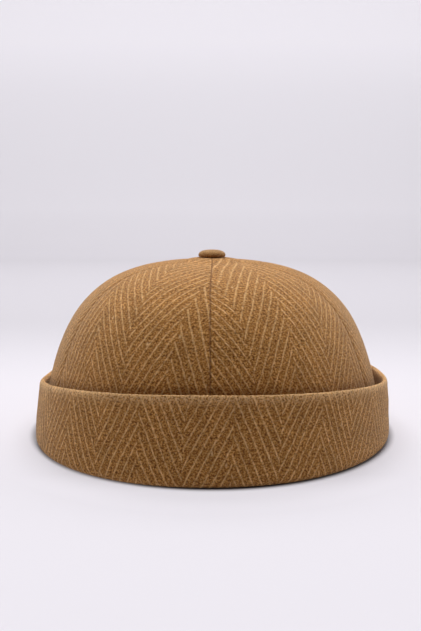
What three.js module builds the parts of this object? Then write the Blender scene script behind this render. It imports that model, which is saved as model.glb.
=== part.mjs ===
import * as THREE from "three";

// A docker hat: a brimless wool hat whose round crown is sewn from six gores, with a deep turned-up cuff
// around the head opening and a cloth-covered button on the apex.
// Millimetres, +Z up. The front of the hat faces -Y. The origin is on the surface it rests on, below the
// middle of the hat. Angles around the hat run from the front (0) towards +X (90 degrees).

// Plan of the head opening: an oval, a little squarer than an ellipse
const planLength = 1.18; // length over width
const openingPower = 2.12; // 2 is an ellipse, more is squarer
const domePower = 2.02; // the crown rounds off to nearly an ellipse
const domeFrom = 40; // the height where it has

// Crown
const crownHalfWidth = 86.9;
const crownHeight = 87.6;
const crownFullness = 0.596; // power of the cosine that rounds the shoulders
const crownWall = 2;
const crownFoot = 12.3; // height of the lower edge, sewn to the cuff inside its fold
const crownMound = 1.2; // the cloth rises where six seams meet under the button
const moundReach = 10.5; // half-width at which the mound has mostly fallen away
const buttonHole = 2.3; // radius of the hole that the button's shank goes through
const seamGap = 0.3; // between neighbouring gores
const seamDip = 0.8; // how deep the cloth is pulled in along a seam
const seamReach = 3; // how far from the seam the dip fades out
const apexDip = 0.3; // share of the dip that is left at the apex, where the seams meet
const goreColumns = 10;
const goreRows = 14;
const gores = [
  { name: "crown_gore_front_right", from: 0, to: 62 },
  { name: "crown_gore_side_right", from: 62, to: 118 },
  { name: "crown_gore_back_right", from: 118, to: 180 },
  { name: "crown_gore_back_left", from: 180, to: 242 },
  { name: "crown_gore_side_left", from: 242, to: 298 },
  { name: "crown_gore_front_left", from: 298, to: 360 },
];

// Cuff: a double layer of cloth, sewn to the crown's lower edge and turned up on the outside. Its widths
// are measured outwards from the crown's lower edge.
const cuffOut = 5.4; // outside, over the fold
const rimOut = 2.6; // outside, at the upper edge
const cuffWall = 3;
const legWall = crownWall; // the inner leg continues the crown's wall
const legTop = crownFoot - 0.3;
const rimHeightFront = 39.1;
const rimHeightSide = 29.4;
const rimHeightBack = 31.4;
const rimSweep = 1.5; // power of the cosine that lowers the rim towards the sides
const straightFrom = 8; // height at which the cuff starts to lean in
const outerFold = 3.4; // radius of the fold outside
const innerFold = 1.6; // radius of the fold inside the head opening
const foldFloor = 3; // thickness of cloth under the fold
const cuffLean = 0.9; // how far the rim is pushed over towards +X
const cuffSteps = 84;
const arcSteps = 4;

// Covered button
const buttonRadius = 7.1;
const buttonSeat = crownHeight + crownMound + 0.3;
const buttonBelt = 1.6; // height of the widest place over the seat
const buttonDome = 3; // rise of the dome over the belt
const buttonTuck = 1.1; // how far the underside is drawn in
const domeFullness = 0.75; // power of the cosine that rounds the button's shoulder
const shankRadius = 2;
const shankLength = 3;
const buttonSteps = 24;
const domeSteps = 6;

const radians = THREE.MathUtils.degToRad;

const woolCloth = new THREE.MeshStandardMaterial({ color: 0x8e693f, roughness: 0.95, metalness: 0 });
const cuffCloth = new THREE.MeshStandardMaterial({ color: 0x8a653c, roughness: 0.95, metalness: 0 });
const buttonCloth = new THREE.MeshStandardMaterial({ color: 0x7d5c36, roughness: 0.95, metalness: 0 });

// How square the oval is at a height
function planPower(height) {
  const share = THREE.MathUtils.clamp((height - crownFoot) / (domeFrom - crownFoot), 0, 1);
  return THREE.MathUtils.lerp(openingPower, domePower, share);
}

// How far the oval of half-width 1 is from its centre at an angle, before it is stretched to its length
function planReach(angle, power) {
  const across = Math.abs(Math.sin(angle)) ** power;
  const along = Math.abs(Math.cos(angle)) ** power;
  return (across + along) ** (-1 / power);
}

// A point that lies a distance outside the oval of a given half-width, square to it
function planPoint(angle, halfWidth, out, power) {
  const reach = planReach(angle, power);
  const acrossShare = reach * Math.sin(angle);
  const alongShare = -reach * Math.cos(angle);
  const outwards = new THREE.Vector2(
    Math.sign(acrossShare) * Math.abs(acrossShare) ** (power - 1),
    (Math.sign(alongShare) * Math.abs(alongShare) ** (power - 1)) / planLength,
  ).setLength(out);
  return new THREE.Vector2(acrossShare, alongShare * planLength).multiplyScalar(halfWidth).add(outwards);
}

// Half-width of the crown's outside at a height
function crownHalfWidthAt(height) {
  return crownHalfWidth * (1 - (height / crownHeight) ** 2) ** (crownFullness / 2);
}

// Side profile of the crown from its lower edge to the hole at the apex: half-width and height
class CrownProfile extends THREE.Curve {
  constructor() {
    super();
    this.lowest = Math.asin(crownFoot / crownHeight);
    this.highest = Math.acos((buttonHole / crownHalfWidth) ** (1 / crownFullness));
  }

  getPoint(share, target = new THREE.Vector2()) {
    const rise = THREE.MathUtils.lerp(this.lowest, this.highest, share);
    const halfWidth = crownHalfWidth * Math.cos(rise) ** crownFullness;
    const mound = crownMound * Math.exp(-((halfWidth / moundReach) ** 4));
    return target.set(halfWidth, crownHeight * Math.sin(rise) + mound);
  }
}

// One gore: a thin box bent onto the crown, its long edges drawn in where the seams pull the cloth down
function goreGeometry(gore, profile) {
  const geometry = new THREE.BoxGeometry(1, 1, 1, goreColumns, goreRows, 1);
  const position = geometry.getAttribute("position");
  const from = radians(gore.from);
  const to = radians(gore.to);
  for (let i = 0; i < position.count; i += 1) {
    const across = Math.sin(Math.PI * position.getX(i)) / 2 + 0.5; // columns crowd towards the seams
    const up = position.getY(i) + 0.5;
    const outside = position.getZ(i) > 0;
    const place = profile.getPointAt(up);
    const tangent = profile.getTangentAt(up);
    const angle = THREE.MathUtils.lerp(from, to, across);
    const power = planPower(place.y);
    const arc = place.x * planReach(angle, power); // millimetres for each radian
    const fromSeam = Math.min(angle - from, to - angle) * arc;
    const strength = THREE.MathUtils.lerp(apexDip, 1, place.x / crownHalfWidth);
    const dip = seamDip * strength * Math.exp(-((fromSeam / seamReach) ** 2));
    const depth = outside ? dip : crownWall;
    const height = Math.max(crownFoot, place.y + depth * tangent.x);
    const inset = (seamGap / 2 / arc) * (1 - 2 * across);
    const point = planPoint(angle + inset, place.x, -depth * tangent.y, power);
    position.setXYZ(i, point.x, point.y, height);
  }
  geometry.computeVertexNormals();
  return geometry;
}

// Points of a circular arc in the cuff's section
function sectionArc(centre, radius, from, to) {
  return Array.from({ length: arcSteps + 1 }, (_, step) => {
    const angle = radians(THREE.MathUtils.lerp(from, to, step / arcSteps));
    return { out: centre.out + radius * Math.cos(angle), height: centre.height + radius * Math.sin(angle) };
  });
}

// The cuff's section where the rim stands at rimHeight: out under the fold, up the outside, over the rim,
// down into the fold, up the inner leg and down inside the head opening
function cuffSection(rimHeight) {
  const rimRadius = cuffWall / 2;
  const rimCentre = { out: rimOut - rimRadius, height: rimHeight - rimRadius };
  const innerFace = cuffOut - cuffWall;
  const hollowRadius = innerFace / 2;
  const middle = (straightFrom + rimCentre.height) / 2;
  const middleOut = (cuffOut + rimOut) / 2;
  return [
    ...sectionArc({ out: cuffOut - outerFold, height: outerFold }, outerFold, -90, 0),
    { out: cuffOut, height: straightFrom },
    { out: middleOut, height: middle },
    ...sectionArc(rimCentre, rimRadius, 0, 180),
    { out: middleOut - cuffWall, height: middle },
    { out: innerFace, height: straightFrom },
    ...sectionArc({ out: hollowRadius, height: foldFloor + hollowRadius }, hollowRadius, 0, -180),
    { out: 0, height: legTop },
    { out: -legWall, height: legTop },
    ...sectionArc({ out: innerFold - legWall, height: innerFold }, innerFold, 180, 270),
  ];
}

// Rim height around the hat: low at the sides, higher at the back, highest in front
function rimHeightAt(angle) {
  const towardsFront = Math.cos(angle);
  const end = towardsFront > 0 ? rimHeightFront : rimHeightBack;
  return THREE.MathUtils.lerp(rimHeightSide, end, Math.abs(towardsFront) ** rimSweep);
}

// The cuff: a ring whose tube takes the section's outline and whose path takes the plan's
function cuffGeometry() {
  const outlinePoints = cuffSection(rimHeightFront).length;
  const legHalfWidth = crownHalfWidthAt(crownFoot);
  const geometry = new THREE.TorusGeometry(2, 1, outlinePoints, cuffSteps);
  const position = geometry.getAttribute("position");
  for (let step = 0; step <= cuffSteps; step += 1) {
    const angle = (2 * Math.PI * (step % cuffSteps)) / cuffSteps;
    const rimHeight = rimHeightAt(angle);
    const section = cuffSection(rimHeight);
    for (let corner = 0; corner <= outlinePoints; corner += 1) {
      const { out, height } = section[corner % outlinePoints];
      const lean = cuffLean * Math.max(0, (height - legTop) / (rimHeight - legTop));
      const point = planPoint(angle, legHalfWidth, out, openingPower);
      position.setXYZ(corner * (cuffSteps + 1) + step, point.x + lean, point.y, height);
    }
  }
  geometry.computeVertexNormals();
  return geometry;
}

// The button: a shank through the apex, a drawn-in underside and a flat dome
function buttonGeometry() {
  const profile = [
    new THREE.Vector2(0, buttonSeat - shankLength),
    new THREE.Vector2(shankRadius, buttonSeat - shankLength),
    new THREE.Vector2(shankRadius, buttonSeat),
  ];
  for (let step = 0; step <= domeSteps / 2; step += 1) {
    const turn = (Math.PI / domeSteps) * step;
    const out = buttonRadius - buttonTuck * (1 - Math.sin(turn));
    profile.push(new THREE.Vector2(out, buttonSeat + buttonBelt * (1 - Math.cos(turn))));
  }
  for (let step = 1; step < domeSteps; step += 1) {
    const turn = (Math.PI / 2 / domeSteps) * step;
    const out = buttonRadius * Math.cos(turn) ** domeFullness;
    profile.push(new THREE.Vector2(out, buttonSeat + buttonBelt + buttonDome * Math.sin(turn)));
  }
  profile.push(new THREE.Vector2(0, buttonSeat + buttonBelt + buttonDome));
  return new THREE.LatheGeometry(profile, buttonSteps).rotateX(Math.PI / 2);
}

function addPiece(group, name, geometry, material) {
  const piece = new THREE.Mesh(geometry, material);
  piece.name = name;
  group.add(piece);
}

const hat = new THREE.Group();
const profile = new CrownProfile();
for (const gore of gores) addPiece(hat, gore.name, goreGeometry(gore, profile), woolCloth);
addPiece(hat, "cuff", cuffGeometry(), cuffCloth);
addPiece(hat, "button", buttonGeometry(), buttonCloth);

export default hat;
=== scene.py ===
import math

import bmesh
import bpy
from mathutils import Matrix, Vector, noise


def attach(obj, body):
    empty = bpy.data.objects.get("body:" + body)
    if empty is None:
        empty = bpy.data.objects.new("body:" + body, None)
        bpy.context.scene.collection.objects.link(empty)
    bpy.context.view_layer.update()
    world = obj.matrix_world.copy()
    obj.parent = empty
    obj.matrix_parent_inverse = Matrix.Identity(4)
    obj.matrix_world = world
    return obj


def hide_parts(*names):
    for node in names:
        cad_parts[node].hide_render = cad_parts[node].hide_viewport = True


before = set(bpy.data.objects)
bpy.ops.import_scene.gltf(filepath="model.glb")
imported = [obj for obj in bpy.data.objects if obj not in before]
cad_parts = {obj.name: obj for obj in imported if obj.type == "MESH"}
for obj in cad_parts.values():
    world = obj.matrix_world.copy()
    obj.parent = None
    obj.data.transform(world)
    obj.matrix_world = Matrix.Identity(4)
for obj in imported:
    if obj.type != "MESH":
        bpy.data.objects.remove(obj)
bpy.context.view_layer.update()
print("frame loaded:", len(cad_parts), "nodes")

# A docker hat of herringbone wool. Its sizes are in millimetres until a mesh is finished, then in metres.
# Angles around the hat run from the front (0) towards +X (90 degrees).
metre = 0.001
hair = 0.1  # a small distance, for comparing places
sharpAngle = 50  # degrees; a sharper edge isn't smoothed
noise.seed_set(1)  # noise_vector takes its offsets from the seed, or else from the time of day

# Plan of the head opening: an oval a little squarer than an ellipse, which the crown rounds off
plan = {
    "length": 1.18,  # length over width
    "openingPower": 2.12,
    "domePower": 2.02,
    "middlePower": 2.05,
    "openingHeight": 12.3,
    "domeHeight": 40,
    "arcSteps": 1440,
}

crown = {
    "halfWidth": 86.9,
    "height": 87.6,
    "fullness": 0.596,  # power of the cosine that rounds the shoulders
    "wall": 2.0,
    "foot": 12.3,
    "mound": 1.9,  # the cloth rises where six seams meet under the button
    "moundReach": 14.0,
    "flat": 0.4,  # it lies a little lower round the mound
    "flatAt": 40,
    "flatReach": 14,
    "swell": 0.3,  # and the shoulders are a little fuller
    "swellHeight": 64,
    "swellReach": 11,
    "hole": 2.3,  # radius, for the button's shank
    "frontLean": -0.9,  # how far the front is pushed over towards +X
    "sideLean": 0.15,
    "leanRise": 14,  # the lean grows over this height above the foot
    "leanFall": 9,  # and fades out over this height below the apex
    "valley": 0.32,  # how deep the cloth is pulled in along a seam
    "valleyReach": 3.2,
    "groove": 0.45,  # the narrow crease where two edges turn in
    "grooveReach": 0.3,
    "creaseShade": 0.78,  # painted shade in a seam's crease: how dark it is, its reach, and how much lighter it is between stitches
    "creaseReach": 0.36,
    "betweenStitches": 0.5,
    "paintedRimShade": 0.3,  # painted shade: how much darker the cloth is beside the cuff, which shades it
    "paintedRimShadeFrom": -1,  # over the rim
    "paintedRimShadeReach": 2.2,
    "apexShare": 0.35,  # share of valley and groove that is left at the apex
    "pucker": 0.15,  # rise and fall between stitches, beside a seam
    "puckerAt": 2.2,  # from the seam
    "puckerReach": 1.6,
    "stitch": 3.4,
    "ribsFrom": 1.2,  # the ribs of the weave fade out this near to a seam
    "columns": 20,
    "rows": 27,
    "finerCuts": 7,  # cuts that make the outside finer than the side towards the head
    "crowding": 0.35,  # how much the columns crowd towards the seams
    "slack": 0.4,  # how far the cloth leaves its even curve here and there
    "slackSize": 34,
    "slackFrom": 30,  # half-width from which the slack is full
    "slackPlace": 11.3,  # where in the noise it is taken
    "grainHeight": 32,  # the height along a gore at which its V line's place is given
    "apartInWeave": 8,  # pairs of columns between two gores on the cloth that they are cut from
}

# Each gore: where it lies, how far from its middle line a V line of the weave runs, how wide a pair of
# columns is on the formed crown, and how the grain turns: at the middle, and for each millimetre across
gores = {
    "crown_gore_front_right": {"from": 0, "to": 62, "vee": -27, "pair": 41.5, "turn": 0.115, "fan": 0.0032},
    "crown_gore_side_right": {"from": 62, "to": 118, "vee": 8, "pair": 41, "turn": 0, "fan": 0},
    "crown_gore_back_right": {"from": 118, "to": 180, "vee": -14, "pair": 41, "turn": 0, "fan": 0},
    "crown_gore_back_left": {"from": 180, "to": 242, "vee": 10.5, "pair": 41, "turn": 0, "fan": 0},
    "crown_gore_side_left": {"from": 242, "to": 298, "vee": -9, "pair": 41, "turn": 0, "fan": 0},
    "crown_gore_front_left": {"from": 298, "to": 360, "vee": 5, "pair": 43.6, "turn": -0.1, "fan": 0.0032},
}

# The weave: lines rise away from each V line and meet at a spine half a pair on, where they are half a
# step apart
weave = {
    "pair": 40.6,
    "slope": 0.475,  # millimetres across for each millimetre up
    "step": 8.0,  # from one line to the next, up the cloth
    "rib": 0.12,  # height of a rib
    "wander": 0.5,  # how far a line strays, in long waves
    "wanderSize": 17,
    "wanderPlace": 3.7,  # where in the noise it is taken
    "closeShare": 0.42,  # and in shorter ones, as a share of it
    "closeTimes": 4.3,  # how many times shorter
    "knotShare": 0.34,
    "knotTimes": 9.5,
}

cuff = {
    "out": 5.4,  # outside, outwards from the crown's lower edge
    "rimOut": 2.6,
    "wall": 3.0,
    "leg": 2.0,
    "legTop": 12.0,
    "rimFront": 38.9,
    "rimSide": 29.4,
    "rimBack": 31.4,
    "rimSweep": 1.5,
    "rimDipLeft": 3.0,  # how much lower the rim is at its lowest on the left, and on the right
    "rimDipRight": 1.3,
    "rimDipTurn": 14,  # both lie a little behind the middle
    "rimDipPower": 6,
    "rimRoll": 3.6,  # the height over which the outside rounds over to the rim
    "wearAndHighlightReach": 3.0,  # the rim is paler along its roll, partly rubbed nap and partly a painted highlight
    "straightFrom": 8.0,
    "outerFold": 3.4,
    "innerFold": 1.6,
    "foldFloor": 3.0,
    "lean": 0.9,
    "steps": 96,
    "finerCuts": 9,  # cuts between two steps around the hat
    "spacing": 0.64,  # between points of the section that show
    "rollShare": 0.3,  # of that, where it rounds over to the rim
    "rimShare": 0.75,  # and over the rim
    "coarse": 3.4,  # between points that don't show
    "patternOut": 4,  # how far out the weave is measured
    "ribsFrom": -1.5,  # its ribs start in the fold, under the hat
    "ribsRise": 2,
    "inSight": 9,  # how far down the inside the cloth is worked
    "vee": -12.0,  # where a V line runs, from the front's middle
    "veeHeight": 20,
    "turn": 0.03,
    "fan": 0.13,
    "fanReach": 190,
    "slack": 0.45,
    "slackSize": 42,
    "slackRise": 12,  # height at which the slack is full
    "slackPlace": 5.1,
    "swell": 2.6,  # the fold is fullest a little left of the front
    "swellFrom": 1.9,  # only what is further out swells
    "swellTurn": -25,
    "swellHeight": 34,
    "backSeam": 0.5,
    "backSeamReach": 0.9,
    "paintedRimShade": 0.4,  # painted shade: the inside is darker a few millimetres below the rim
    "paintedRimShadeReach": 3.5,
    "pushFrom": 8,  # the sides stand off their even shape
    "pushLeft": (-2.2, 1.5, 20),  # how far out at that height, how far higher up, and the rise between
    "pushRight": (0.3, 1.6, 11),
    "pushPower": 10,  # the more, the nearer to the very side it stays
    "pushOut": 3.2,  # the outside takes all of the push, the inner leg none
    "pushLeast": 0.75,  # and the inside of the rim at least this share, more the higher it is
    "pushRise": 16,
}

button = {
    "radius": 7.2,
    "seat": 89.6,
    "belt": 1.0,
    "dome": 2.75,
    "tuck": 1.1,
    "fullness": 0.75,
    "shankRadius": 2.0,
    "shankLength": 3.0,
    "steps": 144,
    "tuckSteps": 8,
    "domeSteps": 24,
    "pleats": 14,
    "pleatDepth": 0.22,
    "pleatPower": 3,
    "wrap": 0.35,  # how much more cloth there is on the way down to the belt
    "placeInWeave": 3000,  # where it is cut from the cloth
}


def mix(start, end, share):
    return start + (end - start) * share


def clamp(value, low, high):
    return min(high, max(low, value))


def planPower(height):
    share = (height - plan["openingHeight"]) / (plan["domeHeight"] - plan["openingHeight"])
    return mix(plan["openingPower"], plan["domePower"], clamp(share, 0, 1))


def planPoint(angle, halfWidth, out, power):
    side, ahead = math.sin(angle), math.cos(angle)
    reach = (abs(side) ** power + abs(ahead) ** power) ** (-1 / power)
    x, y = reach * side, -reach * ahead
    normalX = math.copysign(abs(x) ** (power - 1), x)
    normalY = math.copysign(abs(y) ** (power - 1), y) / plan["length"]
    scale = out / math.hypot(normalX, normalY)
    return halfWidth * x + scale * normalX, halfWidth * plan["length"] * y + scale * normalY


# Distance around the plan, from the front's middle, for each step of the angle
def planArcs(halfWidth, out, power):
    turns = [math.tau * step / plan["arcSteps"] for step in range(plan["arcSteps"] + 1)]
    places = [planPoint(turn, halfWidth, out, power) for turn in turns]
    arcs = [0.0]
    for here, there in zip(places, places[1:]):
        arcs.append(arcs[-1] + math.dist(here, there))
    return arcs


def arcAt(arcs, angle):
    place = angle / math.tau * plan["arcSteps"]
    step = clamp(int(place), 0, plan["arcSteps"] - 1)
    return mix(arcs[step], arcs[step + 1], place - step)


# Side profile of the crown: half-width, height and direction, at even distances from its lower edge
def crownProfile(count):
    lowest = math.asin(crown["foot"] / crown["height"])
    highest = math.acos((crown["hole"] / crown["halfWidth"]) ** (1 / crown["fullness"]))
    fine = 6000
    rises = [mix(lowest, highest, step / fine) for step in range(fine + 1)]
    places = []
    for rise in rises:
        halfWidth = crown["halfWidth"] * math.cos(rise) ** crown["fullness"]
        height = crown["height"] * math.sin(rise)
        swell = crown["swell"] * math.exp(-(((height - crown["swellHeight"]) / crown["swellReach"]) ** 2))
        height += crown["mound"] * math.exp(-((halfWidth / crown["moundReach"]) ** 4))
        height -= crown["flat"] * math.exp(-(((halfWidth - crown["flatAt"]) / crown["flatReach"]) ** 2))
        places.append((halfWidth + swell, height))
    lengths = [0.0]
    for here, there in zip(places, places[1:]):
        lengths.append(lengths[-1] + math.dist(here, there))
    profile, step = [], 0
    for row in range(count + 1):
        wanted = lengths[-1] * row / count
        while step < fine - 1 and lengths[step + 1] < wanted:
            step += 1
        share = (wanted - lengths[step]) / (lengths[step + 1] - lengths[step])
        here, there = Vector(places[step]), Vector(places[step + 1])
        profile.append((wanted, here.lerp(there, share), (there - here).normalized()))
    return profile


# Height of the ribs, from 0 between two lines to 1 on a line, at a place on the cloth
def ribAt(across, up):
    place = across % weave["pair"]
    fold = min(place, weave["pair"] - place)
    phase = (up - fold / weave["slope"]) / weave["step"] + (0.5 if place > weave["pair"] / 2 else 0)
    return 0.5 + 0.5 * math.cos(math.tau * phase)


# How far the cloth's lines stray at a place on it
def wanderAt(across, up):
    size = weave["wanderSize"]
    place = Vector((across / size, up / size, weave["wanderPlace"]))
    broad = noise.noise_vector(place) * weave["wander"]
    close = noise.noise_vector(place * weave["closeTimes"]) * weave["wander"] * weave["closeShare"]
    knots = noise.noise_vector(place * weave["knotTimes"]) * weave["wander"] * weave["knotShare"]
    return broad + close + knots


# Painted shade of a seam's crease at a distance from it, and at a length along it where its stitches show
def creaseAt(fromSeam, length=0):
    lighter = crown["betweenStitches"] / 2 * (1 - math.cos(math.tau * length / crown["stitch"]))
    return crown["creaseShade"] * (1 - lighter) * math.exp(-((fromSeam / crown["creaseReach"]) ** 2))


# Turns a finished shape in millimetres into a piece of the hat that stands for a CAD node
def addPiece(name, shape, material, replaced):
    bmesh.ops.scale(shape, vec=(metre,) * 3, verts=shape.verts)
    mesh = bpy.data.meshes.new(name)
    shape.to_mesh(mesh)
    shape.free()
    mesh.shade_smooth()
    mesh.set_sharp_from_angle(angle=math.radians(sharpAngle))
    mesh.materials.append(material)
    piece = bpy.data.objects.new(name, mesh)
    bpy.context.scene.collection.objects.link(piece)
    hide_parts(replaced)
    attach(piece, "root")
    print(name, len(mesh.vertices), "points")
    return piece


def linearColour(hexColour):
    parts = [int(hexColour[place:place + 2], 16) / 255 for place in (1, 3, 5)]
    return [part / 12.92 if part <= 0.04045 else ((part + 0.055) / 1.055) ** 2.4 for part in parts] + [1.0]


# Adds a node with its settings; an input is a value, a socket, or a node whose first output is meant
def addNode(tree, kind, inputs=None, **settings):
    node = tree.nodes.new("ShaderNode" + kind)
    for name, value in settings.items():
        setattr(node, name, value)
    for socket, source in (inputs or {}).items():
        if isinstance(source, bpy.types.Node):
            source = source.outputs[0]
        if isinstance(source, bpy.types.NodeSocket):
            tree.links.new(source, node.inputs[socket])
        else:
            node.inputs[socket].default_value = source
    return node


# Brushed herringbone wool, woven of carded yarn: mixed browns, twill lines in a lighter yarn, and a short
# nap that has no gloss and scatters light at the edges. The scales of its patterns are for each millimetre.
wool = {
    "dark": "#643a18",
    "middle": "#a46b2f",
    "light": "#d6a15c",
    "line": "#f3c588",
    "fleck": "#e6bd85",
    "slub": "#ecc48e",
    # painted shade in the seams' creases and beside the cuff's rim
    "crease": "#5c2a04",
    # paler along the rim: rubbed nap and a painted highlight
    "wearAndHighlight": "#e8bc87",
    "paintedSheen": "#a58c66",  # painted sheen: the button's stretched cloth made paler and greyer
    "lineHalf": 0.1,  # millimetres from a line's middle to where it starts to fade
    "lineFade": 0.56,
    "lineRise": 0.3,  # how high a line stands, against the mixed fibre
    "fray": 0.9,  # how far the nap moves a line's edge
    "frayScale": 2.0,
    "fadeScale": 0.5,  # patches in which lines fade into the nap
    "fadeLimits": (0.38, 0.62),
    "fadeLeast": 0.1,
    "heatherScale": 1.1,  # mixed fibre
    "heatherDark": 0.39,
    "heatherMiddle": 0.5,
    "heatherLight": 0.602,
    "fleckScale": 1.5,
    "fleckLimits": (0.57, 0.68),
    "fleckShare": 0.55,
    "slubScale": (0.16, 0.075, 0.1),
    "slubLimits": (0.06, 0.13),
    "slubShare": 0.7,
    "slubFray": 0.06,
    "rubScale": 1.25,  # specks along the rim, of rubbed nap and painted highlight
    "rubLimits": (0.42, 0.58),
    "rubShare": 0.95,
    "tone": 0.11,  # how much lighter or darker the dye lies in broad patches
    "toneScale": 0.11,
    "toneLimits": (0.3, 0.7),
    "roughness": 0.95,
    "ior": 1.5,
    "specular": 0.2,
    "sheen": 0.31,
    "sheenRoughness": 0.37,
    "sheenTint": "#fff3d6",
    "bump": 0.0004,  # metres
}


# The wool with its lines at some strength, and some share of it paler and greyer, a painted sheen
def woolCloth(name, lineStrength=1.0, paintedSheen=0.0):
    material = bpy.data.materials.new(name)
    material.use_nodes = True
    tree = material.node_tree
    tree.nodes.clear()
    cloth = addNode(tree, "UVMap", uv_map="cloth")
    place = addNode(tree, "SeparateXYZ", {0: cloth})
    across, up = place.outputs[0], place.outputs[1]

    # Distance from the nearest twill line, in millimetres square to it
    fold = addNode(tree, "Math", {0: across, 1: weave["pair"] / 2}, operation="PINGPONG")
    pairs = addNode(tree, "Math", {0: across, 1: weave["pair"]}, operation="DIVIDE")
    inPair = addNode(tree, "Math", {0: pairs}, operation="FRACT")
    turned = addNode(tree, "Math", {0: inPair, 1: 0.5}, operation="GREATER_THAN")
    rise = addNode(tree, "Math", {0: fold, 1: weave["slope"]}, operation="DIVIDE")
    level = addNode(tree, "Math", {0: up, 1: rise}, operation="SUBTRACT")
    steps = addNode(tree, "Math", {0: level, 1: weave["step"]}, operation="DIVIDE")
    phase = addNode(tree, "Math", {0: turned, 1: 0.5, 2: steps}, operation="MULTIPLY_ADD")
    near = addNode(tree, "Math", {0: phase, 1: 0.5}, operation="PINGPONG")
    apart = weave["step"] * math.sin(math.atan(weave["slope"]))
    fromLine = addNode(tree, "Math", {0: near, 1: apart}, operation="MULTIPLY")

    # The lines fray and fade where the nap covers them
    fuzz = addNode(
        tree, "TexNoise", {"Vector": cloth, "Scale": wool["frayScale"], "Detail": 2.0, "Roughness": 0.5},
    )
    frayed = addNode(tree, "Math", {0: fuzz, 1: wool["fray"], 2: fromLine}, operation="MULTIPLY_ADD")
    centred = addNode(tree, "Math", {0: frayed, 1: wool["fray"] / 2}, operation="SUBTRACT")
    line = addNode(
        tree, "MapRange", {0: centred, 1: wool["lineHalf"], 2: wool["lineFade"], 3: 1.0, 4: 0.0},
        interpolation_type="SMOOTHSTEP",
    )
    patches = addNode(
        tree, "TexNoise", {"Vector": cloth, "Scale": wool["fadeScale"], "Detail": 4.0, "Roughness": 0.8},
    )
    low, high = wool["fadeLimits"]
    least = lineStrength * wool["fadeLeast"]
    strength = addNode(tree, "MapRange", {0: patches, 1: low, 2: high, 3: least, 4: lineStrength})
    lineShare = addNode(tree, "Math", {0: line, 1: strength}, operation="MULTIPLY")

    # Fibre of three shades is carded together, with flecks of a pale one
    heather = addNode(
        tree, "TexNoise",
        {"Vector": cloth, "Scale": wool["heatherScale"], "Detail": 5.0, "Roughness": 0.72},
    )
    ramp = addNode(tree, "ValToRGB", {0: heather})
    dark, light = ramp.color_ramp.elements
    dark.position, dark.color = wool["heatherDark"], linearColour(wool["dark"])
    light.position, light.color = wool["heatherLight"], linearColour(wool["light"])
    ramp.color_ramp.elements.new(wool["heatherMiddle"]).color = linearColour(wool["middle"])
    lined = addNode(tree, "Mix", {0: lineShare, 6: ramp, 7: linearColour(wool["line"])}, data_type="RGBA")
    flecks = addNode(
        tree, "TexNoise", {"Vector": cloth, "Scale": wool["fleckScale"], "Detail": 2.0, "Roughness": 0.6},
    )
    low, high = wool["fleckLimits"]
    fleck = addNode(tree, "MapRange", {0: flecks, 1: low, 2: high, 3: 0.0, 4: wool["fleckShare"]})
    flecked = addNode(
        tree, "Mix", {0: fleck, 6: lined.outputs[2], 7: linearColour(wool["fleck"])}, data_type="RGBA",
    )
    # Slubs, short thick places in the yarn, lie along it and fray into the nap
    stretched = addNode(tree, "Mapping", {"Vector": cloth, "Scale": wool["slubScale"]})
    slubs = addNode(tree, "TexVoronoi", {"Vector": stretched, "Scale": 1.0, "Randomness": 1.0})
    ragged = addNode(tree, "Math", {0: fuzz, 1: wool["slubFray"], 2: slubs}, operation="MULTIPLY_ADD")
    low, high = wool["slubLimits"]
    slub = addNode(tree, "MapRange", {0: ragged, 1: low, 2: high, 3: wool["slubShare"], 4: 0.0})
    slubbed = addNode(
        tree, "Mix", {0: slub, 6: flecked.outputs[2], 7: linearColour(wool["slub"])}, data_type="RGBA",
    )
    # The rim is paler in specks: partly rubbed nap, partly a painted highlight
    wearAndHighlight = addNode(tree, "Attribute", attribute_name="wearAndHighlight")
    rubs = addNode(
        tree, "TexNoise", {"Vector": cloth, "Scale": wool["rubScale"], "Detail": 2.0, "Roughness": 0.6},
    )
    low, high = wool["rubLimits"]
    rub = addNode(tree, "MapRange", {0: rubs, 1: low, 2: high, 3: 0.0, 4: wool["rubShare"]})
    rimWearAndHighlight = addNode(tree, "Math", {0: rub, 1: wearAndHighlight.outputs["Fac"]}, operation="MULTIPLY")
    paled = addNode(
        tree, "Mix", {0: rimWearAndHighlight, 6: slubbed.outputs[2], 7: linearColour(wool["wearAndHighlight"])}, data_type="RGBA",
    )
    # The dye lies unevenly in broad patches
    broad = addNode(
        tree, "TexNoise", {"Vector": cloth, "Scale": wool["toneScale"], "Detail": 2.0, "Roughness": 0.5},
    )
    low, high = wool["toneLimits"]
    tone = addNode(
        tree, "MapRange", {0: broad, 1: low, 2: high, 3: 1 - wool["tone"], 4: 1 + wool["tone"]},
    )
    toned = addNode(tree, "HueSaturation", {"Color": paled.outputs[2], "Value": tone})
    worked = addNode(
        tree, "Mix", {0: paintedSheen, 6: toned, 7: linearColour(wool["paintedSheen"])}, data_type="RGBA",
    )
    # Painted shade: darker where two edges turn in at a seam, and beside the cuff's rim where the cuff
    # shades it
    crease = addNode(tree, "Attribute", attribute_name="crease")
    finished = addNode(
        tree, "Mix", {0: crease.outputs["Fac"], 6: worked.outputs[2], 7: linearColour(wool["crease"])},
        data_type="RGBA",
    )
    height = addNode(
        tree, "Math", {0: lineShare, 1: wool["lineRise"], 2: heather}, operation="MULTIPLY_ADD",
    )
    bump = addNode(tree, "Bump", {"Strength": 1.0, "Distance": wool["bump"], "Height": height})
    shader = addNode(
        tree, "BsdfPrincipled",
        {
            "Base Color": finished.outputs[2], "Roughness": wool["roughness"], "IOR": wool["ior"],
            "Specular IOR Level": wool["specular"],
            "Sheen Weight": wool["sheen"], "Sheen Roughness": wool["sheenRoughness"],
            "Sheen Tint": linearColour(wool["sheenTint"]), "Normal": bump,
        },
    )
    addNode(tree, "OutputMaterial", {0: shader})
    return material


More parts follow.
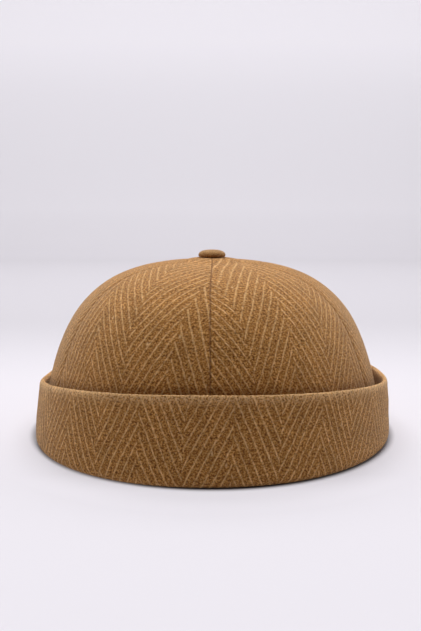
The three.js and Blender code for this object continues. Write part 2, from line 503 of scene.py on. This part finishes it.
# One gore: a thin box, finer outside, bent onto the crown. Its edges turn in at the seams.
def makeGore(name, order, profile, arcs, material):
    gore = gores[name]
    start, end = math.radians(gore["from"]), math.radians(gore["to"])
    middleArc = (arcAt(arcs, start) + arcAt(arcs, end)) / 2
    shape = bmesh.new()
    bmesh.ops.create_cube(shape, size=1)
    for axis, count in ((0, crown["columns"]), (1, crown["rows"])):
        edges = [e for e in shape.edges if abs(e.verts[0].co[axis] - e.verts[1].co[axis]) > 0.5]
        bmesh.ops.subdivide_edges(shape, edges=edges, cuts=count - 1, use_grid_fill=True)
    outside = [e for e in shape.edges if e.verts[0].co.z > 0 and e.verts[1].co.z > 0]
    bmesh.ops.subdivide_edges(shape, edges=outside, cuts=crown["finerCuts"], use_grid_fill=True)
    layer = shape.loops.layers.uv.new("cloth")
    crease = shape.verts.layers.float.new("crease")
    rowCount = crown["rows"] * (crown["finerCuts"] + 1)
    places = {}
    for vert in shape.verts:
        x, y, outer = vert.co.x, vert.co.y, vert.co.z > 0
        across = 0.5 + x + crown["crowding"] * math.sin(math.tau * x) / math.tau
        length, (halfWidth, height), tangent = profile[round((y + 0.5) * rowCount)]
        angle = mix(start, end, across)
        power = planPower(height)
        u = halfWidth * (arcAt(arcs, angle) - middleArc)
        turn = gore["turn"] + gore["fan"] * u
        clothAcross = u - turn * (length - crown["grainHeight"]) - gore["vee"]
        clothAcross *= weave["pair"] / gore["pair"]
        clothAcross += weave["pair"] * crown["apartInWeave"] * order
        clothUp = length + gore["turn"] * u + gore["fan"] * u * u / 2
        stray = wanderAt(clothAcross, clothUp)
        clothAcross += stray.x
        clothUp += stray.y
        places[vert] = (clothAcross, clothUp)
        if outer:
            here = arcAt(arcs, angle)
            fromSeam = halfWidth * min(here - arcAt(arcs, start), arcAt(arcs, end) - here)
            strength = mix(crown["apexShare"], 1, min(1, halfWidth / crown["halfWidth"]))
            depth = crown["valley"] * math.exp(-((fromSeam / crown["valleyReach"]) ** 2))
            depth += crown["groove"] * math.exp(-((fromSeam / crown["grooveReach"]) ** 2))
            beside = math.exp(-(((fromSeam - crown["puckerAt"]) / crown["puckerReach"]) ** 2))
            depth += crown["pucker"] * beside * math.cos(math.tau * length / crown["stitch"])
            depth *= strength
            # Painted shade, darker in the seam's crease and just over the cuff's rim
            overRim = max(0, height - rimHeightAt(angle) - crown["paintedRimShadeFrom"])
            paintedRimShade = crown["paintedRimShade"] * math.exp(-((overRim / crown["paintedRimShadeReach"]) ** 2))
            vert[crease] = max(creaseAt(fromSeam, length), paintedRimShade)
            edge = min(1, fromSeam / crown["ribsFrom"])
            depth -= weave["rib"] * (ribAt(clothAcross, clothUp) - 0.5) * edge
            spot = Vector(planPoint(angle, halfWidth, 0, power) + (height,)) / crown["slackSize"]
            slack = crown["slack"] * noise.noise(spot + Vector((0, 0, crown["slackPlace"])))
            depth -= slack * min(1, halfWidth / crown["slackFrom"])
        else:
            depth = crown["wall"]
        lifted = max(crown["foot"], height + depth * tangent.x)
        x, y = planPoint(angle, halfWidth, -depth * tangent.y, power)
        lean = mix(crown["sideLean"], crown["frontLean"], max(0, math.cos(angle)) ** 2)
        lean *= clamp((height - crown["foot"]) / crown["leanRise"], 0, 1)
        x += lean * clamp((crown["height"] - height) / crown["leanFall"], 0, 1)
        vert.co = (x, y, lifted)
    for face in shape.faces:
        for loop in face.loops:
            loop[layer].uv = places[loop.vert]
    return addPiece(name + "_cloth", shape, material, name)


def arcPoints(centreOut, centreHeight, radius, start, end, spacing):
    count = max(3, round(abs(math.radians(end - start)) * radius / spacing))
    turns = [math.radians(mix(start, end, step / count)) for step in range(count + 1)]
    return [(centreOut + radius * math.cos(t), centreHeight + radius * math.sin(t)) for t in turns]


def linePoints(start, end, spacing):
    count = max(1, round(math.dist(start, end) / spacing))
    return [Vector(start).lerp(Vector(end), step / count)[:] for step in range(count + 1)]


# The cuff's section in front: out under the fold, up the outside, over the rim, down into the fold, up the
# inner leg and down inside the head opening
def cuffSection():
    fine, coarse = cuff["spacing"], cuff["coarse"]
    rimRadius = cuff["wall"] / 2
    rimCentre = (cuff["rimOut"] - rimRadius, cuff["rimFront"] - rimRadius)
    innerFace = cuff["out"] - cuff["wall"]
    hollow = innerFace / 2
    fold = cuff["outerFold"]
    points = arcPoints(cuff["out"] - fold, fold, fold, -90, 0, fine)
    points += linePoints((cuff["out"], fold), (cuff["out"], cuff["straightFrom"]), fine)
    rollFrom = cuff["rimFront"] - cuff["rimRoll"]
    points += linePoints((cuff["out"], cuff["straightFrom"]), (cuff["rimOut"], rollFrom), fine)
    stretch = cuff["rimRoll"] / rimRadius
    for out, height in arcPoints(rimCentre[0], 0, rimRadius, 0, 90, fine * cuff["rollShare"]):
        points.append((out, rollFrom + height * stretch))
    points += arcPoints(*rimCentre, rimRadius, 90, 180, fine * cuff["rimShare"])
    rimInside = cuff["rimOut"] - cuff["wall"]
    points += linePoints((rimInside, rimCentre[1]), (innerFace, cuff["straightFrom"]), coarse)
    points += arcPoints(hollow, cuff["foldFloor"] + hollow, hollow, 0, -180, coarse / 2)
    points += linePoints((0, cuff["foldFloor"] + hollow), (0, cuff["legTop"]), coarse)
    points += linePoints((0, cuff["legTop"]), (-cuff["leg"], cuff["legTop"]), coarse / 2)
    points += linePoints((-cuff["leg"], cuff["legTop"]), (-cuff["leg"], cuff["innerFold"]), coarse)
    inside = cuff["innerFold"]
    points += arcPoints(inside - cuff["leg"], inside, inside, 180, 270, coarse / 3)
    kept = []
    for point in points:
        if not kept or math.dist(point, kept[-1]) > hair / 10:
            kept.append(point)
    return kept


def rimHeightAt(angle):
    towardsFront = math.cos(angle)
    end = cuff["rimFront"] if towardsFront > 0 else cuff["rimBack"]
    right = math.sin(angle) > 0
    turned = angle - math.radians(cuff["rimDipTurn"] if right else -cuff["rimDipTurn"])
    dip = (cuff["rimDipRight"] if right else cuff["rimDipLeft"]) * math.sin(turned) ** cuff["rimDipPower"]
    return mix(cuff["rimSide"], end, abs(towardsFront) ** cuff["rimSweep"]) - dip


# How far the cuff's sides stand off their even shape, at a place in its section
def sidePush(angle, out, height):
    side = math.sin(angle)
    low, high, rise = cuff["pushRight"] if side > 0 else cuff["pushLeft"]
    push = mix(low, high, clamp((height - cuff["pushFrom"]) / rise, 0, 1)) * side ** cuff["pushPower"]
    overLeg = height - cuff["legTop"] - hair
    least = cuff["pushLeast"] + overLeg / cuff["pushRise"] if overLeg > 0 else 0
    return push * clamp(out / cuff["pushOut"], least, 1)


# A place on the cuff's cloth, whose grain turns a little towards the sides, as it does in the photo
def cuffCloth(u, path):
    reach = cuff["fanReach"]
    held = clamp(u, -reach, reach)
    turn = cuff["turn"] + cuff["fan"] * math.sin(math.pi * held / reach)
    across = u - turn * (path - cuff["veeHeight"]) - cuff["vee"]
    up = path + cuff["turn"] * u + cuff["fan"] * reach / math.pi * (1 - math.cos(math.pi * held / reach))
    stray = wanderAt(across, up)
    return across + stray.x, up + stray.y


# The cuff: its section spun round, then bent to the plan and to the height of its rim
def makeCuff(material):
    footShare = 1 - (crown["foot"] / crown["height"]) ** 2
    legHalfWidth = crown["halfWidth"] * footShare ** (crown["fullness"] / 2)
    arcs = planArcs(legHalfWidth, cuff["patternOut"], plan["openingPower"])
    around = arcs[-1]
    points = cuffSection()
    spinRadius = 100  # of the even ring that is then bent
    shape = bmesh.new()
    keys = ("along", "out", "normalOut", "normalUp", "wearAndHighlight", "crease")
    kept = {key: shape.verts.layers.float.new(key) for key in keys}
    ring = []
    fold = cuff["outerFold"]
    travelled = fold - fold * math.pi / 2  # so that it is the height on the straight outside
    for step, (out, height) in enumerate(points):
        before, after = points[step - 1], points[(step + 1) % len(points)]
        travelled += math.dist(before, (out, height)) if step else 0
        along = Vector(after) - Vector(before)
        vert = shape.verts.new((0, -(spinRadius + out), height))
        vert[kept["along"]], vert[kept["out"]] = travelled, out
        vert[kept["normalOut"]], vert[kept["normalUp"]] = along.y / along.length, -along.x / along.length
        ring.append(vert)
    edges = [shape.edges.new((ring[step - 1], ring[step])) for step in range(len(ring))]
    bmesh.ops.spin(
        shape, geom=ring + edges, cent=(0, 0, 0), axis=(0, 0, 1), angle=math.tau, steps=cuff["steps"],
        use_merge=True,
    )
    bmesh.ops.recalc_face_normals(shape, faces=shape.faces)
    rings = [e for e in shape.edges if e.verts[0][kept["along"]] == e.verts[1][kept["along"]]]
    bmesh.ops.subdivide_edges(shape, edges=rings, cuts=cuff["finerCuts"], use_grid_fill=True)
    layer = shape.loops.layers.uv.new("cloth")
    rimStart = cuff["rimFront"] - cuff["rimRoll"]
    lastSeen = cuff["rimFront"] + cuff["wall"] + cuff["inSight"]
    places = {}
    for vert in shape.verts:
        x, y, height = vert.co
        angle = math.atan2(x, -y) % math.tau
        along, out, normalOut, normalUp = [vert[kept[key]] for key in keys[:4]]
        rim = rimHeightAt(angle)
        straight = cuff["straightFrom"]
        squeeze = (rim - cuff["rimRoll"] - straight) / (rimStart - straight)
        path = along
        if along >= rimStart:
            path = along + rim - cuff["rimFront"]
        elif along > straight:
            path = mix(straight, along, squeeze)
        behind = out < 1 and height < cuff["legTop"] + hair  # the inner leg keeps its height
        if height >= rimStart:
            height += rim - cuff["rimFront"]
        elif height > straight and not behind:
            height = mix(straight, height, squeeze)
        u = arcAt(arcs, angle)
        u -= around if u > around / 2 else 0
        places[vert] = (u, path)
        depth = 0
        swell = max(0, math.cos(angle - math.radians(cuff["swellTurn"]))) ** 2
        swell *= clamp(1 - height / cuff["swellHeight"], 0, 1) * clamp(out - cuff["swellFrom"], 0, 1)
        out += cuff["swell"] * swell + sidePush(angle, out, height)
        if along < lastSeen:
            clothAcross, clothUp = cuffCloth(u, path)
            shown = clamp((along - cuff["ribsFrom"]) / cuff["ribsRise"], 0, 1)
            depth -= weave["rib"] * (ribAt(clothAcross, clothUp) - 0.5) * shown
            seam = around / 2 - abs(u)
            depth += cuff["backSeam"] * math.exp(-((seam / cuff["backSeamReach"]) ** 2)) * shown
            # Painted shade, darker inside the cuff below the rim and in the back seam's crease
            inwards = max(0, -normalOut) if out > -1 else 0
            paintedRimShade = cuff["paintedRimShade"] * clamp((rim - height) / cuff["paintedRimShadeReach"], 0, 1) * inwards
            vert[kept["crease"]] = max(creaseAt(seam) * shown, paintedRimShade)
            spot = Vector((x, y, height)) / cuff["slackSize"]
            slack = cuff["slack"] * noise.noise(spot + Vector((cuff["slackPlace"], 0, 0)))
            depth -= slack * clamp(height / cuff["slackRise"], 0, 1)
            # Paler band along the rim: partly rubbed nap, partly a painted highlight
            vert[kept["wearAndHighlight"]] = math.exp(-(((rim - height) / cuff["wearAndHighlightReach"]) ** 2))
        lean = cuff["lean"] * max(0, (height - cuff["legTop"]) / (rim - cuff["legTop"]))
        x, y = planPoint(angle, legHalfWidth, out - depth * normalOut, plan["openingPower"])
        vert.co = (x + lean, y, max(0, height - depth * normalUp))
    for face in shape.faces:
        middle = places[face.verts[0]][0]
        for loop in face.loops:
            u, path = places[loop.vert]
            if u - middle > around / 2:
                u -= around
            elif middle - u > around / 2:
                u += around
            loop[layer].uv = cuffCloth(u, path)
    return addPiece("cuff_cloth_band", shape, material, "cuff")


def makeButton(material):
    seat, belt, dome = button["seat"], button["belt"], button["dome"]
    shank, foot = button["shankRadius"], seat - button["shankLength"]
    points = [(0, foot)]
    points += linePoints((shank, foot), (shank, seat), 1)
    for step in range(button["tuckSteps"] + 1):
        turn = math.pi / 2 * step / button["tuckSteps"]
        out = button["radius"] - button["tuck"] * (1 - math.sin(turn))
        points.append((out, seat + belt * (1 - math.cos(turn))))
    for step in range(1, button["domeSteps"]):
        turn = math.pi / 2 * step / button["domeSteps"]
        out = button["radius"] * math.cos(turn) ** button["fullness"]
        points.append((out, seat + belt + dome * math.sin(turn)))
    points.append((0, seat + belt + dome))
    shape = bmesh.new()
    verts = [shape.verts.new((out, 0, height)) for out, height in points]
    edges = [shape.edges.new(pair) for pair in zip(verts, verts[1:])]
    bmesh.ops.spin(
        shape, geom=verts + edges, cent=(0, 0, 0), axis=(0, 0, 1), angle=math.tau, steps=button["steps"],
        use_merge=True,
    )
    bmesh.ops.remove_doubles(shape, verts=shape.verts, dist=0.0005)
    bmesh.ops.recalc_face_normals(shape, faces=shape.faces)
    layer = shape.loops.layers.uv.new("cloth")
    places = {}
    for vert in shape.verts:
        x, y, height = vert.co
        radius, angle = math.hypot(x, y), math.atan2(y, x)
        fall = clamp((seat + belt + dome - height) / (belt + dome), 0, 1)
        wrapped = 1 + button["wrap"] * fall
        places[vert] = (x * wrapped + button["placeInWeave"], y * wrapped)
        if radius > shank + hair:
            pleat = fall ** button["pleatPower"] * (1 + math.cos(angle * button["pleats"]))
            squeeze = 1 - button["pleatDepth"] / button["radius"] * pleat
            vert.co.x *= squeeze
            vert.co.y *= squeeze
    for face in shape.faces:
        for loop in face.loops:
            loop[layer].uv = places[loop.vert]
    return addPiece("button_cloth_cover", shape, material, "button")


# Camera, at the height and distance that the photo was taken from
cameraSettings = {"place": (-0.77, -467.3, 121.5), "down": 7.673, "lens": 50.89, "sensor": 36.0}


def makeCamera():
    data = bpy.data.cameras.new("camera")
    data.lens = cameraSettings["lens"]
    data.sensor_width = cameraSettings["sensor"]
    data.clip_start, data.clip_end = 0.01, 50
    camera = bpy.data.objects.new("camera", data)
    camera.location = Vector(cameraSettings["place"]) * metre
    camera.rotation_euler = (math.radians(90 - cameraSettings["down"]), 0, 0)
    bpy.context.scene.collection.objects.link(camera)
    bpy.context.scene.camera = camera


# Studio, in metres: matt background paper, an even pale grey without gloss, which sweeps up behind the hat
# and glows with painted light, darker in a painted shadow round the hat, and large soft lights
studio = {
    "paper": "#a29fa4",
    "paperRoughness": 0.9,
    "paperSpecular": 0.1,
    "glow": "#cfccd2",  # painted glow, given off by the paper itself though it is no lamp
    "glowStrength": 0.68,
    "glowReach": 0.74,  # share of the glow that lights other things
    "hatHalfWidth": 0.0918,
    "hatHalfLength": 0.1073,
    "shadeInner": 1.0,  # painted contact shadow: no glow under the hat; these are shares of its oval
    "shadeOuter": 1.05,
    "nearShare": 0.36,  # a painted pool of brighter glow close around it, in front
    "nearTo": 1.3,
    "nearFrom": -0.088,
    "nearFull": -0.112,
    "farShare": 0.86,  # and painted brighter glow far off to the sides and in front, where the lamps don't reach
    "farFrom": 0.7,
    "farTo": 2.4,
    "fadeFrom": 0.03,  # painted shading: behind the hat the glow fades
    "fadeTo": 0.42,
    "fadeLeft": 0.49,
    "riseFrom": 1.2,  # and comes back where the paper bends up
    "riseTo": 1.85,
    "riseShare": 0.46,
    "wallFoot": 0.06,  # and again up the wall
    "wallTop": 0.6,
    "wallShare": 0.5,
    "paperColumns": 12,
    "paperRows": 160,
    "paperWidth": 12.0,
    "paperFront": -6.0,
    "paperBack": 2.6,
    "sweepRadius": 1.2,
    "paperTop": 5.0,
    "surroundings": "#e9e6ee",
    "surroundingsStrength": 0.02,
}
# Each light: where it stands and where it points
softLights = {
    "overhead": {"place": (0, 0.1, 1.5), "aim": (0, 0, 0.04), "size": (1.6, 1.4), "watts": 18.6},
    "above_behind": {"place": (0, 1.0, 1.4), "aim": (0, 0, 0.04), "size": (1.6, 0.8), "watts": 17.5},
    "left": {"place": (-2.2, 0.4, 0.8), "aim": (0, 0, 0.03), "size": (1.6, 1.3), "watts": 9.6},
    "right": {"place": (2.2, 0.4, 0.8), "aim": (0, 0, 0.03), "size": (1.6, 1.3), "watts": 9.3},
    "background": {"place": (0, 1.3, 1.7), "aim": (0, 2.6, 0.6), "size": (2.4, 0.5), "watts": 10},
}


def makeStudio():
    shape = bmesh.new()
    columns, rows = studio["paperColumns"], studio["paperRows"]
    bmesh.ops.create_grid(shape, x_segments=columns, y_segments=rows, size=0.5)
    radius, front, back = studio["sweepRadius"], studio["paperFront"], studio["paperBack"]
    flat = back - radius - front
    bend = radius * math.pi / 2
    whole = flat + bend + studio["paperTop"] - radius
    for vert in shape.verts:
        along = (vert.co.y + 0.5) * whole
        x = vert.co.x * studio["paperWidth"]
        if along < flat:
            vert.co = (x, front + along, 0)
        elif along < flat + bend:
            turn = (along - flat) / radius
            vert.co = (x, back - radius + radius * math.sin(turn), radius * (1 - math.cos(turn)))
        else:
            vert.co = (x, back, radius + along - flat - bend)
    mesh = bpy.data.meshes.new("studio_paper")
    shape.to_mesh(mesh)
    shape.free()
    mesh.shade_smooth()
    paper = bpy.data.objects.new("studio_paper", mesh)
    bpy.context.scene.collection.objects.link(paper)
    material = bpy.data.materials.new("matt_background_paper")
    material.use_nodes = True
    shader = material.node_tree.nodes["Principled BSDF"]
    shader.inputs["Base Color"].default_value = linearColour(studio["paper"])
    shader.inputs["Roughness"].default_value = studio["paperRoughness"]
    shader.inputs["Specular IOR Level"].default_value = studio["paperSpecular"]
    shader.inputs["Emission Color"].default_value = linearColour(studio["glow"])
    tree = material.node_tree
    place = addNode(tree, "TexCoord")
    stretch = (1 / studio["hatHalfWidth"], 1 / studio["hatHalfLength"], 0)
    oval = addNode(tree, "Mapping", {"Vector": place.outputs["Object"], "Scale": stretch})
    reach = addNode(tree, "VectorMath", {0: oval}, operation="LENGTH")
    # Painted contact shadow: the glow is cut off under the hat's oval
    clear = addNode(
        tree, "MapRange", {0: reach.outputs["Value"], 1: studio["shadeInner"], 2: studio["shadeOuter"]},
        interpolation_type="SMOOTHSTEP",
    )
    spot = addNode(tree, "SeparateXYZ", {0: place.outputs["Object"]})
    fade = addNode(
        tree, "MapRange",
        {0: spot.outputs["Y"], 1: studio["fadeFrom"], 2: studio["fadeTo"], 3: 1.0, 4: studio["fadeLeft"]},
        interpolation_type="SMOOTHSTEP",
    )
    rise = addNode(
        tree, "MapRange",
        {0: spot.outputs["Y"], 1: studio["riseFrom"], 2: studio["riseTo"], 3: 0.0, 4: studio["riseShare"]},
    )
    top = addNode(
        tree, "MapRange",
        {0: spot.outputs["Z"], 1: studio["wallFoot"], 2: studio["wallTop"], 3: 0.0, 4: studio["wallShare"]},
    )
    near = addNode(
        tree, "MapRange",
        {0: reach.outputs["Value"], 1: 1.0, 2: studio["nearTo"], 3: studio["nearShare"], 4: 0.0},
    )
    inFront = addNode(
        tree, "MapRange",
        {0: spot.outputs["Y"], 1: studio["nearFrom"], 2: studio["nearFull"], 3: 0.0, 4: 1.0},
    )
    ahead = addNode(tree, "Math", {0: spot.outputs["Y"], 1: -1.0}, operation="MULTIPLY")
    aside = addNode(tree, "Math", {0: spot.outputs["X"]}, operation="ABSOLUTE")
    away = addNode(tree, "Math", {0: ahead, 1: aside}, operation="MAXIMUM")
    far = addNode(
        tree, "MapRange",
        {0: away, 1: studio["farFrom"], 2: studio["farTo"], 3: 0.0, 4: studio["farShare"]},
        interpolation_type="SMOOTHSTEP",
    )
    wall = addNode(tree, "Math", {0: rise, 1: top}, operation="ADD")
    lowered = addNode(tree, "Math", {0: fade, 1: wall}, operation="ADD")
    spread = addNode(tree, "Math", {0: lowered, 1: far}, operation="ADD")
    lit = addNode(tree, "Math", {0: near, 1: inFront, 2: spread}, operation="MULTIPLY_ADD")
    shaded = addNode(tree, "Math", {0: lit, 1: clear}, operation="MULTIPLY")
    # The glow is brighter to look at than the light that it gives
    path = addNode(tree, "LightPath")
    full = studio["glowStrength"]
    given = addNode(
        tree, "MapRange", {0: path.outputs["Is Camera Ray"], 3: full * studio["glowReach"], 4: full},
    )
    glow = addNode(tree, "Math", {0: shaded, 1: given}, operation="MULTIPLY")
    tree.links.new(glow.outputs[0], shader.inputs["Emission Strength"])
    mesh.materials.append(material)

    world = bpy.data.worlds.new("studio_surroundings")
    world.use_nodes = True
    background = world.node_tree.nodes["Background"]
    background.inputs["Color"].default_value = linearColour(studio["surroundings"])
    # The room beyond the paper is pale to look at and gives little light
    path = addNode(world.node_tree, "LightPath")
    shown = addNode(
        world.node_tree, "MapRange",
        {0: path.outputs["Is Camera Ray"], 3: studio["surroundingsStrength"], 4: 1.0},
    )
    world.node_tree.links.new(shown.outputs[0], background.inputs["Strength"])
    bpy.context.scene.world = world
    for name, light in softLights.items():
        data = bpy.data.lights.new("soft_light_" + name, "AREA")
        data.shape = "RECTANGLE"
        data.size, data.size_y = light["size"]
        data.energy = light["watts"]
        lamp = bpy.data.objects.new(data.name, data)
        lamp.location = light["place"]
        aim = Vector(light["aim"]) - lamp.location
        lamp.rotation_euler = aim.to_track_quat("-Z", "Y").to_euler()
        bpy.context.scene.collection.objects.link(lamp)
    bpy.context.scene.view_settings.view_transform = "Standard"


makeCamera()
makeStudio()
print("camera and studio ready")

crownWool = woolCloth("herringbone_wool_crown", 0.88)
cuffWool = woolCloth("herringbone_wool_cuff")
# The button's copy of the wool is paler and greyer, a painted sheen
buttonWool = woolCloth("herringbone_wool_button", 0.25, 0.3)

crownArcs = planArcs(1, 0, plan["middlePower"])
profile = crownProfile(crown["rows"] * (crown["finerCuts"] + 1))
for order, goreName in enumerate(gores):
    gorePiece = makeGore(goreName, order, profile, crownArcs, crownWool)
print("crown ready")
cuffPiece = makeCuff(cuffWool)
print("cuff ready")
makeButton(buttonWool)
print("button ready")

bpy.context.view_layer.update()
